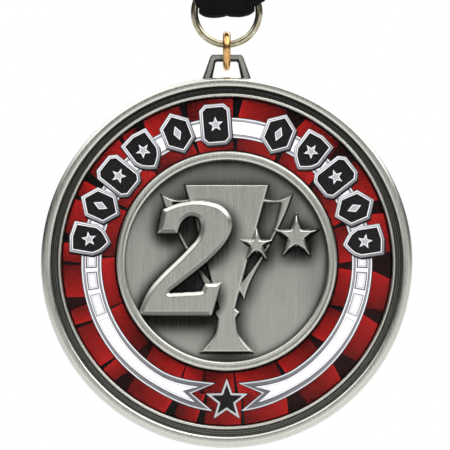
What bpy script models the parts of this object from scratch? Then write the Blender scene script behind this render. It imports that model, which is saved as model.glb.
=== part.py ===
"""Award medal on a neck ribbon.

A die-cast place medal with a printed colour ring under a clear cover hangs from a sewn
neck ribbon by a jump ring and a ribbon ring.

Frame: metres, +Z up, the medal's front faces -Y. The origin is the point at the back of
the ribbon's loop where a neck or a display bust carries it.
Everything is laid out from the middle of the medal's disc and hung from one empty that
moves it to that origin.
"""
import math

import bmesh
import bpy
from mathutils import Vector

MM = 0.001

# ---- medal casting -------------------------------------------------------------------
DISC_RADIUS = 35.0 * MM
DISC_THICKNESS = 3.8 * MM
BACK_Y = 1.7 * MM            # back plane of the disc, behind the plane of the rings
RIM_INNER_RADIUS = 33.4 * MM
BEAD_OUTER_RADIUS = 31.7 * MM
CHANNEL_OUTER_RADIUS = 30.7 * MM
CHANNEL_INNER_RADIUS = 20.9 * MM
CENTRE_RADIUS = 18.9 * MM
GROOVE_HEIGHT = 2.8 * MM     # heights are over the back plane
BEAD_HEIGHT = 3.6 * MM
CHANNEL_HEIGHT = 1.3 * MM
CENTRE_HEIGHT = 1.6 * MM
CUP_HEIGHT = 2.4 * MM
STAR_HEIGHT = 3.0 * MM
NUMERAL_HEIGHT = 3.4 * MM
RELIEF_STRETCH = 1.019       # the two, the cup and its handles stand this much taller
RELIEF_DROP = 0.39 * MM      # and this far lower than their outlines say
EDGE_ROUND = 0.5 * MM
CHAMFER = 0.15 * MM
DISC_SEGMENTS = 72

# ---- lug on top of the disc ----------------------------------------------------------
LUG_TOP_Z = 39.3 * MM
LUG_BAR_BOTTOM_Z = 38.04 * MM
LUG_FOOT_Z = 33.9 * MM
LUG_TOP_WIDTH = 5.8 * MM
LUG_FOOT_WIDTH = 9.5 * MM
LUG_OPENING_TOP_WIDTH = 3.9 * MM
LUG_OPENING_FOOT_WIDTH = 5.7 * MM
LUG_THICKNESS = 1.7 * MM
LUG_CHAMFER = 0.35 * MM

# ---- printed ring, its adhesive and its clear cover ----------------------------------
GAP = 0.3 * MM               # clearance between pieces that touch
ADHESIVE_THICKNESS = 0.15 * MM
PRINT_THICKNESS = 0.25 * MM
COVER_THICKNESS = 0.7 * MM
RING_SEGMENTS = 64

# ---- rings ---------------------------------------------------------------------------
RIBBON_RING_RADIUS = 6.115 * MM
RIBBON_RING_WIRE = 1.37 * MM
RIBBON_RING_Z = 47.45 * MM
JUMP_RING_WIRE = 1.45 * MM
JUMP_RING_BUTT_GAP = math.radians(8.0)

# ---- neck ribbon ---------------------------------------------------------------------
RIBBON_WIDTH = 22.0 * MM
RIBBON_THICKNESS = 0.6 * MM
FOLD_WIDTH = 10.1 * MM       # the ribbon is pleated this narrow where it fills its ring
FOLD_BOTTOM = -0.6 * MM      # middle of the cloth, from the ribbon ring's middle
LEG_Y = 1.3 * MM             # front and back legs pass the ring's wire this far off
SEAM_Y = 1.0 * MM
TAIL_TOP = 16.5 * MM
SLEEVE_END = 9.0 * MM        # the right strap ends here, between the two legs
ROWS_PER_SPAN = 5

# ---- sewing thread -------------------------------------------------------------------
THREAD = 0.4 * MM
SEAM_HALF_WIDTH = 6.0 * MM
SEAM_LOW = 10.6 * MM
SEAM_ROW_PITCH = 2.6 * MM
STITCH_PITCH = 1.0 * MM
STITCH_HEIGHT = 1.5 * MM

# The left strap's middle line from the sewn V up and round to the back of the neck:
# x, y and z in millimetres from the ribbon ring's middle, and the way the cloth's face
# points, in degrees from the front.
STRAP_ROUTE = (
    (-5.2, -1.0, 21.0, 0.0),
    (-12.5, -0.7, 48.0, 0.0),
    (-23.0, 0.0, 92.0, 2.0),
    (-34.0, 1.5, 135.0, 6.0),
    (-45.0, 4.5, 174.5, 13.0),
    (-55.0, 11.0, 210.0, 27.0),
    (-62.0, 24.0, 238.5, 48.0),
    (-63.5, 43.0, 257.5, 72.0),
    (-57.0, 67.0, 268.5, 102.0),
    (-38.0, 90.0, 274.5, 138.0),
)
NECK_POINT = (0.0, 101.0, 276.5, 180.0)


def clear_scene():
    for item in list(bpy.data.objects):
        bpy.data.objects.remove(item, do_unlink=True)


def new_collection(name):
    collection = bpy.data.collections.new(name)
    bpy.context.scene.collection.children.link(collection)
    return collection


clear_scene()
PARTS = new_collection("award_ribbon")
CUTTERS = new_collection("cutters")


# ---- helpers -------------------------------------------------------------------------

def material(name, colour, roughness, metallic):
    made = bpy.data.materials.new(name)
    made.use_nodes = True
    shader = made.node_tree.nodes["Principled BSDF"]
    shader.inputs["Base Color"].default_value = (*colour, 1.0)
    shader.inputs["Roughness"].default_value = roughness
    shader.inputs["Metallic"].default_value = metallic
    return made


def pivot(name, parent, location):
    """An empty that marks a joint's axis and carries what turns about it."""
    empty = bpy.data.objects.new(name, None)
    empty.empty_display_size = 5.0 * MM
    empty.parent = parent
    empty.location = location
    PARTS.objects.link(empty)
    return empty


def add_part(name, data, parent, location, finish, rotation=(0.0, 0.0, 0.0)):
    item = bpy.data.objects.new(name, data)
    item.parent = parent
    item.location = location
    item.rotation_euler = rotation
    item.data.materials.append(finish)
    PARTS.objects.link(item)
    return item


def shade_smooth(mesh):
    mesh.shade_smooth()
    mesh.set_sharp_from_angle(angle=math.radians(35.0))


def profile_mesh(name, profile, closed):
    """Edges along a profile of (radius, height) pairs, to be turned by Screw."""
    mesh = bpy.data.meshes.new(name)
    points = [(radius, 0.0, height) for radius, height in profile]
    edges = [(i, i + 1) for i in range(len(points) - 1)]
    if closed:
        edges.append((len(points) - 1, 0))
    mesh.from_pydata(points, edges, [])
    return mesh


def add_screw(item, steps):
    screw = item.modifiers.new("turned", 'SCREW')
    screw.steps = steps
    screw.render_steps = steps
    screw.use_merge_vertices = True
    screw.merge_threshold = 0.00001
    screw.use_smooth_shade = True


def welded_mesh(name, curve):
    """The closed mesh that a filled curve stands for."""
    holder = bpy.data.objects.new(name, curve)
    bpy.context.scene.collection.objects.link(holder)
    seen = holder.evaluated_get(bpy.context.evaluated_depsgraph_get())
    mesh = bpy.data.meshes.new_from_object(seen)
    bpy.data.objects.remove(holder, do_unlink=True)
    shell = bmesh.new()
    shell.from_mesh(mesh)
    bmesh.ops.remove_doubles(shell, verts=shell.verts, dist=0.000001)
    bmesh.ops.recalc_face_normals(shell, faces=shell.faces)
    shell.to_mesh(mesh)
    shell.free()
    return mesh


def plate_mesh(name, outlines, thickness, chamfer):
    """A flat plate with chamfered edges from closed outlines in its X-Y plane."""
    curve = bpy.data.curves.new(name, 'CURVE')
    curve.dimensions = '2D'
    curve.fill_mode = 'BOTH'
    curve.extrude = thickness / 2 - chamfer
    curve.bevel_depth = chamfer
    curve.bevel_resolution = 0
    curve.offset = -chamfer
    for outline in outlines:
        spline = curve.splines.new('POLY')
        spline.points.add(len(outline) - 1)
        for point, (x, y) in zip(spline.points, outline):
            point.co = (x, y, 0.0, 1.0)
        spline.use_cyclic_u = True
    return welded_mesh(name, curve)


def wire_mesh(name, points, diameter, bevel_resolution):
    """A round wire with flat ends along a list of points."""
    curve = bpy.data.curves.new(name, 'CURVE')
    curve.dimensions = '3D'
    curve.bevel_depth = diameter / 2
    curve.bevel_resolution = bevel_resolution
    curve.use_fill_caps = True
    spline = curve.splines.new('POLY')
    spline.points.add(len(points) - 1)
    for point, place in zip(spline.points, points):
        point.co = (*place, 1.0)
    mesh = welded_mesh(name, curve)
    shade_smooth(mesh)
    return mesh


def catmull_rom(before, start, end, after, share):
    """One point of a smooth curve through start and end."""
    return tuple(
        0.5 * (2 * b + (c - a) * share
               + (2 * a - 5 * b + 4 * c - d) * share ** 2
               + (3 * b - a - 3 * c + d) * share ** 3)
        for a, b, c, d in zip(before, start, end, after))


def smooth_outline(points, steps):
    """A closed outline in metres from (x, y, is_corner) points in millimetres.

    Spans between two corners stay straight. The others curve through their points.
    The whole outline is then stretched and lowered to its place on the disc.
    """
    count = len(points)
    outline = []
    for i in range(count):
        start = points[i]
        end = points[(i + 1) % count]
        before = start if start[2] else points[i - 1]
        after = end if end[2] else points[(i + 2) % count]
        pieces = 1 if start[2] and end[2] else steps
        for step in range(pieces):
            x, y = catmull_rom(before[:2], start[:2], end[:2], after[:2], step / pieces)
            outline.append((x * MM, y * MM * RELIEF_STRETCH - RELIEF_DROP))
    return outline


# ---- outlines of the raised work -----------------------------------------------------

def numeral_outline():
    """A bold slanted figure two."""
    return smooth_outline((
        (-13.2, 5.4, True),
        (-12.2, 10.1, True),
        (-8.9, 11.3, False),
        (-5.0, 11.7, False),
        (-1.0, 10.7, False),
        (1.1, 8.0, False),
        (0.4, 4.6, False),
        (-3.0, 0.6, False),
        (-10.6, -5.4, True),
        (-4.9, -5.1, True),
        (-4.2, -3.6, True),
        (-0.9, -3.6, True),
        (-2.7, -9.9, True),
        (-17.0, -9.9, True),
        (-14.4, -4.4, False),
        (-8.2, 1.9, False),
        (-5.5, 5.0, False),
        (-5.2, 7.8, False),
        (-6.8, 8.6, False),
        (-8.4, 7.4, False),
        (-9.2, 5.4, True),
    ), 3)


def mirrored_half(points):
    """Close a right-hand half outline, read from top to bottom, with its mirror."""
    left = [(-x, y, corner) for x, y, corner in reversed(points)]
    return list(points) + left


def cup_outline():
    """A tall tapered cup on a flared foot."""
    return smooth_outline(mirrored_half((
        (8.1, 14.8, True),
        (6.0, 7.4, False),
        (3.2, -2.6, False),
        (1.7, -8.3, True),
        (2.6, -9.1, True),
        (1.8, -10.2, True),
        (2.5, -13.4, False),
        (5.2, -16.6, True),
    )), 2)


def handle_outline(side):
    """One angular handle, from the cup's shoulder out to a tip and down to the stem."""
    points = (
        (6.4, 12.3, True),
        (9.4, 11.9, False),
        (12.6, 13.1, True),
        (10.8, 8.4, False),
        (7.4, 1.8, False),
        (4.6, -3.4, False),
        (3.3, -7.0, True),
        (1.9, -4.6, True),
        (5.6, 0.4, False),
        (8.6, 5.9, False),
        (10.1, 11.2, True),
        (6.4, 11.2, True),
    )
    outline = smooth_outline(points, 2)
    return [(side * x, y) for x, y in outline[::side]]


def star_outline(centre, outer, inner, turn=0.0):
    points = []
    for i in range(10):
        reach = inner if i % 2 else outer
        angle = turn + math.pi / 2 - i * math.pi / 5
        points.append((centre[0] + reach * math.cos(angle),
                       centre[1] + reach * math.sin(angle)))
    return points


LARGE_STAR = ((13.1 * MM, 4.6 * MM), 4.7 * MM, 1.95 * MM)
SMALL_STAR = ((5.6 * MM, 3.0 * MM), 3.6 * MM, 1.5 * MM)


# ---- medal ---------------------------------------------------------------------------

def disc_profile():
    """Half section of the disc, from the middle of its face round to its back."""
    rounding = EDGE_ROUND
    small = CHAMFER
    return (
        (0.0, CENTRE_HEIGHT),
        (CENTRE_RADIUS, CENTRE_HEIGHT),
        (CENTRE_RADIUS, DISC_THICKNESS - small),
        (CENTRE_RADIUS + small, DISC_THICKNESS),
        (CHANNEL_INNER_RADIUS - small, DISC_THICKNESS),
        (CHANNEL_INNER_RADIUS, DISC_THICKNESS - small),
        (CHANNEL_INNER_RADIUS, CHANNEL_HEIGHT),
        (CHANNEL_OUTER_RADIUS, CHANNEL_HEIGHT),
        (CHANNEL_OUTER_RADIUS, BEAD_HEIGHT - small),
        (CHANNEL_OUTER_RADIUS + small, BEAD_HEIGHT),
        (BEAD_OUTER_RADIUS - small, BEAD_HEIGHT),
        (BEAD_OUTER_RADIUS, BEAD_HEIGHT - small),
        (BEAD_OUTER_RADIUS, GROOVE_HEIGHT),
        (RIM_INNER_RADIUS, GROOVE_HEIGHT),
        (RIM_INNER_RADIUS, DISC_THICKNESS - small),
        (RIM_INNER_RADIUS + small, DISC_THICKNESS),
        (DISC_RADIUS - rounding, DISC_THICKNESS),
        (DISC_RADIUS - 0.3 * rounding, DISC_THICKNESS - 0.3 * rounding),
        (DISC_RADIUS, DISC_THICKNESS - rounding),
        (DISC_RADIUS, rounding),
        (DISC_RADIUS - rounding, 0.0),
        (0.0, 0.0),
    )


def face_plate(name, outlines, height, parent):
    """A raised shape, sunk into the disc's face, that Boolean joins to the disc."""
    sunk = CENTRE_HEIGHT / 2
    mesh = plate_mesh(name, outlines, height - sunk, CHAMFER)
    item = bpy.data.objects.new(name, mesh)
    item.parent = parent
    item.location = (0.0, BACK_Y - (height + sunk) / 2, 0.0)
    item.rotation_euler = (math.pi / 2, 0.0, 0.0)
    return item


def lug_outline():
    """The lug's two legs and its bar. The disc's rim closes the opening below."""
    top = LUG_TOP_WIDTH / 2
    foot = LUG_FOOT_WIDTH / 2
    inner_top = LUG_OPENING_TOP_WIDTH / 2
    inner_foot = LUG_OPENING_FOOT_WIDTH / 2
    corner = 0.5 * MM
    return [
        (-foot, LUG_FOOT_Z), (-inner_foot, LUG_FOOT_Z),
        (-inner_top, LUG_BAR_BOTTOM_Z), (inner_top, LUG_BAR_BOTTOM_Z),
        (inner_foot, LUG_FOOT_Z), (foot, LUG_FOOT_Z),
        (top, LUG_TOP_Z - corner), (top - corner, LUG_TOP_Z),
        (corner - top, LUG_TOP_Z), (-top, LUG_TOP_Z - corner),
    ]


def join_to(body, item):
    """Join a cutter object to the body with an exact Boolean union."""
    item.hide_render = True
    item.display_type = 'WIRE'
    CUTTERS.objects.link(item)
    union = body.modifiers.new("with_" + item.name, 'BOOLEAN')
    union.operation = 'UNION'
    union.solver = 'EXACT'
    union.object = item


def make_medal(parent, centre):
    silver = material("antique_silver_casting", (0.55, 0.56, 0.53), 0.38, 1.0)
    frame = pivot("medal_middle", parent, centre)
    body = add_part("medal_body", profile_mesh("medal_body", disc_profile(), False),
                    frame, (0.0, BACK_Y, 0.0), silver, (math.pi / 2, 0.0, 0.0))
    add_screw(body, DISC_SEGMENTS)
    lug = bpy.data.objects.new("lug", plate_mesh("lug", [lug_outline()],
                                                 LUG_THICKNESS, LUG_CHAMFER))
    lug.parent = frame
    lug.rotation_euler = (math.pi / 2, 0.0, 0.0)
    join_to(body, lug)
    join_to(body, face_plate("cup", [cup_outline()], CUP_HEIGHT, frame))
    handle_height = CUP_HEIGHT - 0.1 * MM
    join_to(body, face_plate("handle_right", [handle_outline(1)], handle_height, frame))
    join_to(body, face_plate("handle_left", [handle_outline(-1)], handle_height, frame))
    join_to(body, face_plate("numeral_two", [numeral_outline()], NUMERAL_HEIGHT, frame))
    join_to(body, face_plate("large_star", [star_outline(*LARGE_STAR)],
                             STAR_HEIGHT, frame))
    join_to(body, face_plate("small_star", [star_outline(*SMALL_STAR)],
                             STAR_HEIGHT - 0.1 * MM, frame))
    return frame


def flat_ring_profile(inner, outer, low, high, chamfer):
    return (
        (inner, low), (inner, high - chamfer), (inner + chamfer, high),
        (outer - chamfer, high), (outer, high - chamfer), (outer, low),
    )


def make_printed_layers(frame):
    """The adhesive, the printed ring and the clear cover, one on another."""
    inner = CHANNEL_INNER_RADIUS + GAP
    outer = CHANNEL_OUTER_RADIUS - GAP
    adhesive_low = CHANNEL_HEIGHT + GAP
    print_low = adhesive_low + ADHESIVE_THICKNESS + GAP
    cover_low = print_low + PRINT_THICKNESS + GAP
    layers = (
        ("adhesive_ring", adhesive_low, ADHESIVE_THICKNESS, 0.02 * MM,
         material("adhesive_film", (0.75, 0.74, 0.68), 0.5, 0.0)),
        ("printed_ring", print_low, PRINT_THICKNESS, 0.02 * MM,
         material("red_print", (0.30, 0.02, 0.02), 0.4, 0.0)),
        ("clear_cover", cover_low, COVER_THICKNESS, 0.25 * MM,
         material("clear_resin", (0.9, 0.9, 0.9), 0.06, 0.0)),
    )
    for name, low, thickness, chamfer, finish in layers:
        profile = flat_ring_profile(inner, outer, low, low + thickness, chamfer)
        ring = add_part(name, profile_mesh(name, profile, True), frame,
                        (0.0, BACK_Y, 0.0), finish, (math.pi / 2, 0.0, 0.0))
        add_screw(ring, RING_SEGMENTS)


# ---- rings ---------------------------------------------------------------------------

JUMP_RING_INNER_LOW = LUG_BAR_BOTTOM_Z - GAP
JUMP_RING_INNER_HIGH = (RIBBON_RING_Z - RIBBON_RING_RADIUS
                        + RIBBON_RING_WIRE / 2 + GAP)
JUMP_RING_RADIUS = (JUMP_RING_INNER_HIGH - JUMP_RING_INNER_LOW + JUMP_RING_WIRE) / 2
JUMP_RING_Z = (JUMP_RING_INNER_HIGH + JUMP_RING_INNER_LOW) / 2
LUG_BAR_Z = (LUG_TOP_Z + LUG_BAR_BOTTOM_Z) / 2
RIBBON_RING_LOW_Z = RIBBON_RING_Z - RIBBON_RING_RADIUS


def make_ribbon_ring(parent):
    """A closed nickel ring that lies in the medal's plane."""
    nickel = material("nickel_plated_wire", (0.62, 0.60, 0.55), 0.2, 1.0)
    bpy.ops.mesh.primitive_torus_add(
        major_segments=40, minor_segments=10, major_radius=RIBBON_RING_RADIUS,
        minor_radius=RIBBON_RING_WIRE / 2, rotation=(math.pi / 2, 0.0, 0.0))
    ring = bpy.context.object
    ring.name = "ribbon_ring"
    ring.data.materials.append(nickel)
    shade_smooth(ring.data)
    for collection in list(ring.users_collection):
        collection.objects.unlink(ring)
    PARTS.objects.link(ring)
    ring.parent = parent


def make_jump_ring(parent):
    """A round wire ring, cut through at its back, at right angles to its neighbours."""
    copper = material("copper_plated_wire", (0.78, 0.48, 0.28), 0.22, 1.0)
    segments = 30
    sweep = 2 * math.pi - JUMP_RING_BUTT_GAP
    points = []
    for i in range(segments + 1):
        angle = JUMP_RING_BUTT_GAP / 2 + sweep * i / segments
        points.append((0.0, JUMP_RING_RADIUS * math.cos(angle),
                       JUMP_RING_RADIUS * math.sin(angle)))
    offset = JUMP_RING_Z - RIBBON_RING_LOW_Z
    add_part("jump_ring", wire_mesh("jump_ring", points, JUMP_RING_WIRE, 2), parent,
             (0.0, 0.0, offset), copper)


# ---- neck ribbon ---------------------------------------------------------------------

def ribbon_stations():
    """Stations along the cloth: middle point, facing angle and width, in metres.

    They run from the tail behind the ring, through the ring, up the left strap, round
    the neck and down the right strap to its end between the two legs.
    """
    full = RIBBON_WIDTH
    stations = [
        (3.9 * MM, SEAM_Y, TAIL_TOP, 180.0, full),
        (2.7 * MM, SEAM_Y, 12.0 * MM, 180.0, 0.93 * full),
        (1.4 * MM, 1.15 * MM, 7.8 * MM, 180.0, 0.78 * full),
        (0.4 * MM, LEG_Y, 3.6 * MM, 180.0, 0.63 * full),
    ]
    fold_middle = FOLD_BOTTOM + LEG_Y
    turns = 8
    for i in range(turns + 1):
        angle = math.pi * i / turns
        stations.append((0.0, LEG_Y * math.cos(angle),
                         fold_middle - LEG_Y * math.sin(angle),
                         180.0 - math.degrees(angle), FOLD_WIDTH))
    stations += [
        (-0.4 * MM, -LEG_Y, 3.6 * MM, 0.0, 0.65 * full),
        (-1.4 * MM, -1.15 * MM, 7.8 * MM, 0.0, 0.80 * full),
        (-2.7 * MM, -SEAM_Y, 12.0 * MM, 0.0, 0.95 * full),
        (-3.9 * MM, -SEAM_Y, TAIL_TOP, 0.0, full),
    ]
    left = [(x * MM, y * MM, z * MM, facing, full) for x, y, z, facing in STRAP_ROUTE]
    x, y, z, facing = NECK_POINT
    stations += left
    stations.append((x * MM, y * MM, z * MM, facing, full))
    right = []
    for x, y, z, facing, width in reversed(left):
        right.append((-x, y, z, 360.0 - facing, width))
    # The right strap's foot passes behind the left strap and ends between the legs.
    right[-1] = (-left[0][0], 0.1 * MM, left[0][2], 360.0, full)
    right[-2] = (-left[1][0], 0.7 * MM, left[1][2], 360.0, full)
    right.append((2.7 * MM, 0.0, 12.0 * MM, 360.0, 0.93 * full))
    right.append((1.8 * MM, 0.0, SLEEVE_END, 360.0, 0.84 * full))
    return stations + right


def resampled(stations, pieces):
    """Read a smooth curve through the stations, and keep the fold's own points."""
    last = len(stations) - 1
    rows = []
    for i in range(last):
        before = stations[max(i - 1, 0)]
        after = stations[min(i + 2, last)]
        span = (Vector(stations[i + 1][:3]) - Vector(stations[i][:3])).length
        count = pieces if span > RIBBON_WIDTH / 2 else 1 + int(span > 2.0 * MM)
        for step in range(count):
            rows.append(catmull_rom(before, stations[i], stations[i + 1], after,
                                    step / count))
    rows.append(stations[last])
    return rows


def ribbon_mesh():
    rows = resampled(ribbon_stations(), ROWS_PER_SPAN)
    middles = [Vector(row[:3]) for row in rows]
    mesh = bpy.data.meshes.new("neck_ribbon")
    cloth = bmesh.new()
    lines = []
    for i, row in enumerate(rows):
        along = middles[min(i + 1, len(rows) - 1)] - middles[max(i - 1, 0)]
        if row[4] < 1.01 * FOLD_WIDTH:
            across = Vector((-1.0, 0.0, 0.0))
        else:
            facing = math.radians(row[3])
            face = Vector((-math.sin(facing), -math.cos(facing), 0.0))
            across = face.cross(along.normalized()).normalized()
        half = across * row[4] / 2
        lines.append([cloth.verts.new(middles[i] - half),
                      cloth.verts.new(middles[i]),
                      cloth.verts.new(middles[i] + half)])
    for low, high in zip(lines, lines[1:]):
        for k in range(2):
            cloth.faces.new((low[k], low[k + 1], high[k + 1], high[k]))
    cloth.to_mesh(mesh)
    cloth.free()
    shade_smooth(mesh)
    return mesh


def make_neck_ribbon(parent):
    black = material("black_woven_ribbon", (0.012, 0.012, 0.014), 0.6, 0.0)
    ribbon = add_part("neck_ribbon", ribbon_mesh(), parent, (0.0, 0.0, 0.0), black)
    cloth = ribbon.modifiers.new("cloth_thickness", 'SOLIDIFY')
    cloth.thickness = RIBBON_THICKNESS
    cloth.offset = 0.0
    cloth.use_even_offset = True


def zigzag(face_y):
    """Two rows of zigzag stitches sewn without a break, as points."""
    count = int(2 * SEAM_HALF_WIDTH / STITCH_PITCH)
    points = []
    for row in range(2):
        low = SEAM_LOW + row * SEAM_ROW_PITCH
        for i in range(count + 1):
            x = -SEAM_HALF_WIDTH + i * STITCH_PITCH
            if row:
                x = -x
            points.append((x, face_y, low + STITCH_HEIGHT * ((i + row) % 2)))
    return points


def make_threads(parent):
    black = material("black_thread", (0.02, 0.02, 0.022), 0.55, 0.0)
    offset = SEAM_Y + RIBBON_THICKNESS / 2 + GAP + THREAD / 2
    for name, side in (("needle_thread", -1), ("bobbin_thread", 1)):
        add_part(name, wire_mesh(name, zigzag(side * offset), THREAD, 1), parent,
                 (0.0, 0.0, 0.0), black)


# ---- assembly ------------------------------------------------------------------------

def build():
    neck_y = NECK_POINT[1] * MM - RIBBON_THICKNESS / 2
    neck_z = NECK_POINT[2] * MM
    assembly = pivot("neck_rest", None, (0.0, 0.0, 0.0))
    ring_middle = pivot("ribbon_ring_axis", assembly, (0.0, -neck_y, -neck_z))
    make_neck_ribbon(ring_middle)
    make_threads(ring_middle)
    make_ribbon_ring(ring_middle)
    jump_axis = pivot("jump_ring_axis", ring_middle,
                      (0.0, 0.0, RIBBON_RING_LOW_Z - RIBBON_RING_Z))
    make_jump_ring(jump_axis)
    medal_axis = pivot("medal_axis", jump_axis,
                       (0.0, 0.0, LUG_BAR_Z - RIBBON_RING_LOW_Z))
    frame = make_medal(medal_axis, (0.0, 0.0, -LUG_BAR_Z))
    make_printed_layers(frame)


build()
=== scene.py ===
"""The looks of the award medal on its neck ribbon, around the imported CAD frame."""
import math
import random

import bmesh
import bpy
import numpy as np
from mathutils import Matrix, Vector
from mathutils.geometry import tessellate_polygon


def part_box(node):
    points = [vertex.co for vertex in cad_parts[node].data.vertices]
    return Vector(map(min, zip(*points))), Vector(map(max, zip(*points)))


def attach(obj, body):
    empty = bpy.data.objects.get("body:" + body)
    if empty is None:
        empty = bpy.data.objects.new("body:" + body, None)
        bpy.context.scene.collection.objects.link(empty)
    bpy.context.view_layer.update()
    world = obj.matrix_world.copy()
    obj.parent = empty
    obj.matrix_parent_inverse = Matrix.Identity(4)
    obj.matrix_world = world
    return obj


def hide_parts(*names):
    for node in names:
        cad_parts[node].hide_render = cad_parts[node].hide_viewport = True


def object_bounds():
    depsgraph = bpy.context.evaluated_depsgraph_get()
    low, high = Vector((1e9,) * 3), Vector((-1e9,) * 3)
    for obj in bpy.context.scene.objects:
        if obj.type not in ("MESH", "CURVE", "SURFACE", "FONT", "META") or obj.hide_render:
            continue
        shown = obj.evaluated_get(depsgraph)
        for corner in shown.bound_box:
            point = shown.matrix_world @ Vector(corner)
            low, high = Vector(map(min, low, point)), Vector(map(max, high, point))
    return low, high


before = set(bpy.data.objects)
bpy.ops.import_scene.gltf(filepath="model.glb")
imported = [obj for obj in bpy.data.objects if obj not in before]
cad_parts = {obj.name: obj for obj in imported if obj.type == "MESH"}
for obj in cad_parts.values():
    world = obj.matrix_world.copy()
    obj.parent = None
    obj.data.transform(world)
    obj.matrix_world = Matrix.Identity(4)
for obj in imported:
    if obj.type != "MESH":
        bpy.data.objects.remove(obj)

CAD_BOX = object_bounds()
MM = 0.001

# ---- places read from the frame ----
BODY_LOW, BODY_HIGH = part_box("medal_body")
DISC_RADIUS = (BODY_HIGH.x - BODY_LOW.x) / 2
DISC_X = (BODY_HIGH.x + BODY_LOW.x) / 2
DISC_Z = BODY_LOW.z + DISC_RADIUS
BACK_Y = BODY_HIGH.y
DISC_THICKNESS = BODY_HIGH.y - BODY_LOW.y
LUG_TOP = BODY_HIGH.z - DISC_Z
RING_LOW, RING_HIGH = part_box("ribbon_ring")
RING_MIDDLE = (RING_LOW + RING_HIGH) / 2
CAD_WIRE_SPAN = 0.951        # what the wire's ten flat sides span of its diameter
RING_WIRE = (RING_HIGH.y - RING_LOW.y) / CAD_WIRE_SPAN
JUMP_LOW, JUMP_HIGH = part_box("jump_ring")
PRINT_HEIGHT = BACK_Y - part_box("printed_ring")[0].y
COVER_LOW, COVER_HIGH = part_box("clear_cover")
COVER_BOTTOM = BACK_Y - COVER_HIGH.y
COVER_TOP = BACK_Y - COVER_LOW.y

# ---- the medal's own sizes, heights over its back plane ----
RIM_INNER = 33.02 * MM
BEAD_OUTER = 31.87 * MM
CHANNEL_OUTER = 31.05 * MM
CHANNEL_INNER = 20.78 * MM
CENTRE_RADIUS = 19.0 * MM
GROOVE_HEIGHT = 2.65 * MM
BEAD_HEIGHT = 3.6 * MM
CHANNEL_HEIGHT = 1.3 * MM
FLOOR_HEIGHT = 1.6 * MM
NUMERAL_HEIGHT = 3.45 * MM
CUP_HEIGHT = 2.35 * MM
HANDLE_HEIGHT = 2.2 * MM
NUMERAL_BEVEL = 0.85 * MM
GROOVE_SHADE_FADE = 0.2            # how much painted shade the groove loses from the disc's top to its bottom
STAR_HEIGHT = 3.05 * MM
RELIEF_STRETCH = 1.019       # the two, the cup and its handles stand this much taller
RELIEF_DROP = 0.39 * MM      # and this far lower than their outlines say
RELIEF_STEP = 0.125 * MM
DISC_SEGMENTS = 200

random.seed(7)


def place(x, z, height):
    """A point of the medal: right, up, and out of its face from the back plane."""
    return Vector((DISC_X + x, BACK_Y - height, DISC_Z + z))


def polar(radius, angle):
    """Right and up from the disc's middle, for an angle clockwise from the top."""
    return radius * math.sin(angle), radius * math.cos(angle)


def smoothstep(low, high, value):
    share = np.clip((value - low) / (high - low), 0.0, 1.0)
    return share * share * (3.0 - 2.0 * share)


# ---- shader helpers ----

class Nodes:
    """A node tree with short calls for what the materials and the world repeat."""

    def __init__(self, tree):
        self.tree = tree

    def feed(self, target, value):
        """Link an output to a socket, or give the socket a number, vector or colour."""
        if isinstance(value, bpy.types.NodeSocket):
            self.tree.links.new(value, target)
        elif target.type == 'RGBA':
            target.default_value = (*value, 1.0)
        else:
            target.default_value = value

    def node(self, kind, inputs=(), **settings):
        """A new node with its settings and its inputs, by name or by number."""
        made = self.tree.nodes.new(kind)
        for name, value in settings.items():
            setattr(made, name, value)
        for slot, value in dict(inputs).items():
            self.feed(made.inputs[slot], value)
        return made

    def range(self, value, low, high, to_low, to_high, curve='LINEAR'):
        return self.node("ShaderNodeMapRange",
                         {"Value": value, "From Min": low, "From Max": high,
                          "To Min": to_low, "To Max": to_high},
                         interpolation_type=curve).outputs["Result"]

    def math(self, operation, *values):
        return self.node("ShaderNodeMath", enumerate(values),
                         operation=operation).outputs["Value"]

    def show_mix(self, output, share, first, second):
        """Send a mix of two shader nodes to the tree's output node."""
        mixed = self.node("ShaderNodeMixShader",
                          {0: share, 1: first.outputs[0], 2: second.outputs[0]})
        self.feed(self.tree.nodes[output].inputs["Surface"], mixed.outputs[0])


class Shader(Nodes):
    """A material with its node tree and its Principled surface."""

    def __init__(self, name, **values):
        self.material = bpy.data.materials.new(name)
        self.material.use_nodes = True
        super().__init__(self.material.node_tree)
        self.surface = self.tree.nodes["Principled BSDF"]
        self.set(**values)

    def set(self, **values):
        """Feed the Principled sockets, named with _ for a space."""
        for name, value in values.items():
            self.feed(self.surface.inputs[name.replace("_", " ")], value)

    def attribute(self, name):
        return self.node("ShaderNodeAttribute", attribute_name=name).outputs["Fac"]

    def noise(self, scale, detail=3.0, roughness=0.55):
        """Noise over object coordinates, its scale one number or one for each axis."""
        if isinstance(scale, float):
            scale = (scale, scale, scale)
        spot = self.node("ShaderNodeTexCoord").outputs["Object"]
        spot = self.node("ShaderNodeMapping", {"Vector": spot, "Scale": scale}).outputs[0]
        return self.node("ShaderNodeTexNoise",
                         {"Vector": spot, "Scale": 1.0, "Detail": detail,
                          "Roughness": roughness}).outputs["Fac"]

    def mix(self, share, first, second):
        return self.node("ShaderNodeMix", {0: share, 6: first, 7: second},
                         data_type='RGBA').outputs[2]

    def ramp(self, value, *stops):
        made = self.node("ShaderNodeValToRGB", {"Fac": value})
        for element, (position, colour) in zip(made.color_ramp.elements, stops):
            element.position = position
            element.color = (*colour, 1.0)
        return made.outputs["Color"]

    def bump(self, height, distance, under=None):
        inputs = {"Height": height, "Distance": distance, "Strength": 1.0}
        if under is not None:
            inputs["Normal"] = under
        return self.node("ShaderNodeBump", inputs).outputs["Normal"]


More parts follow.
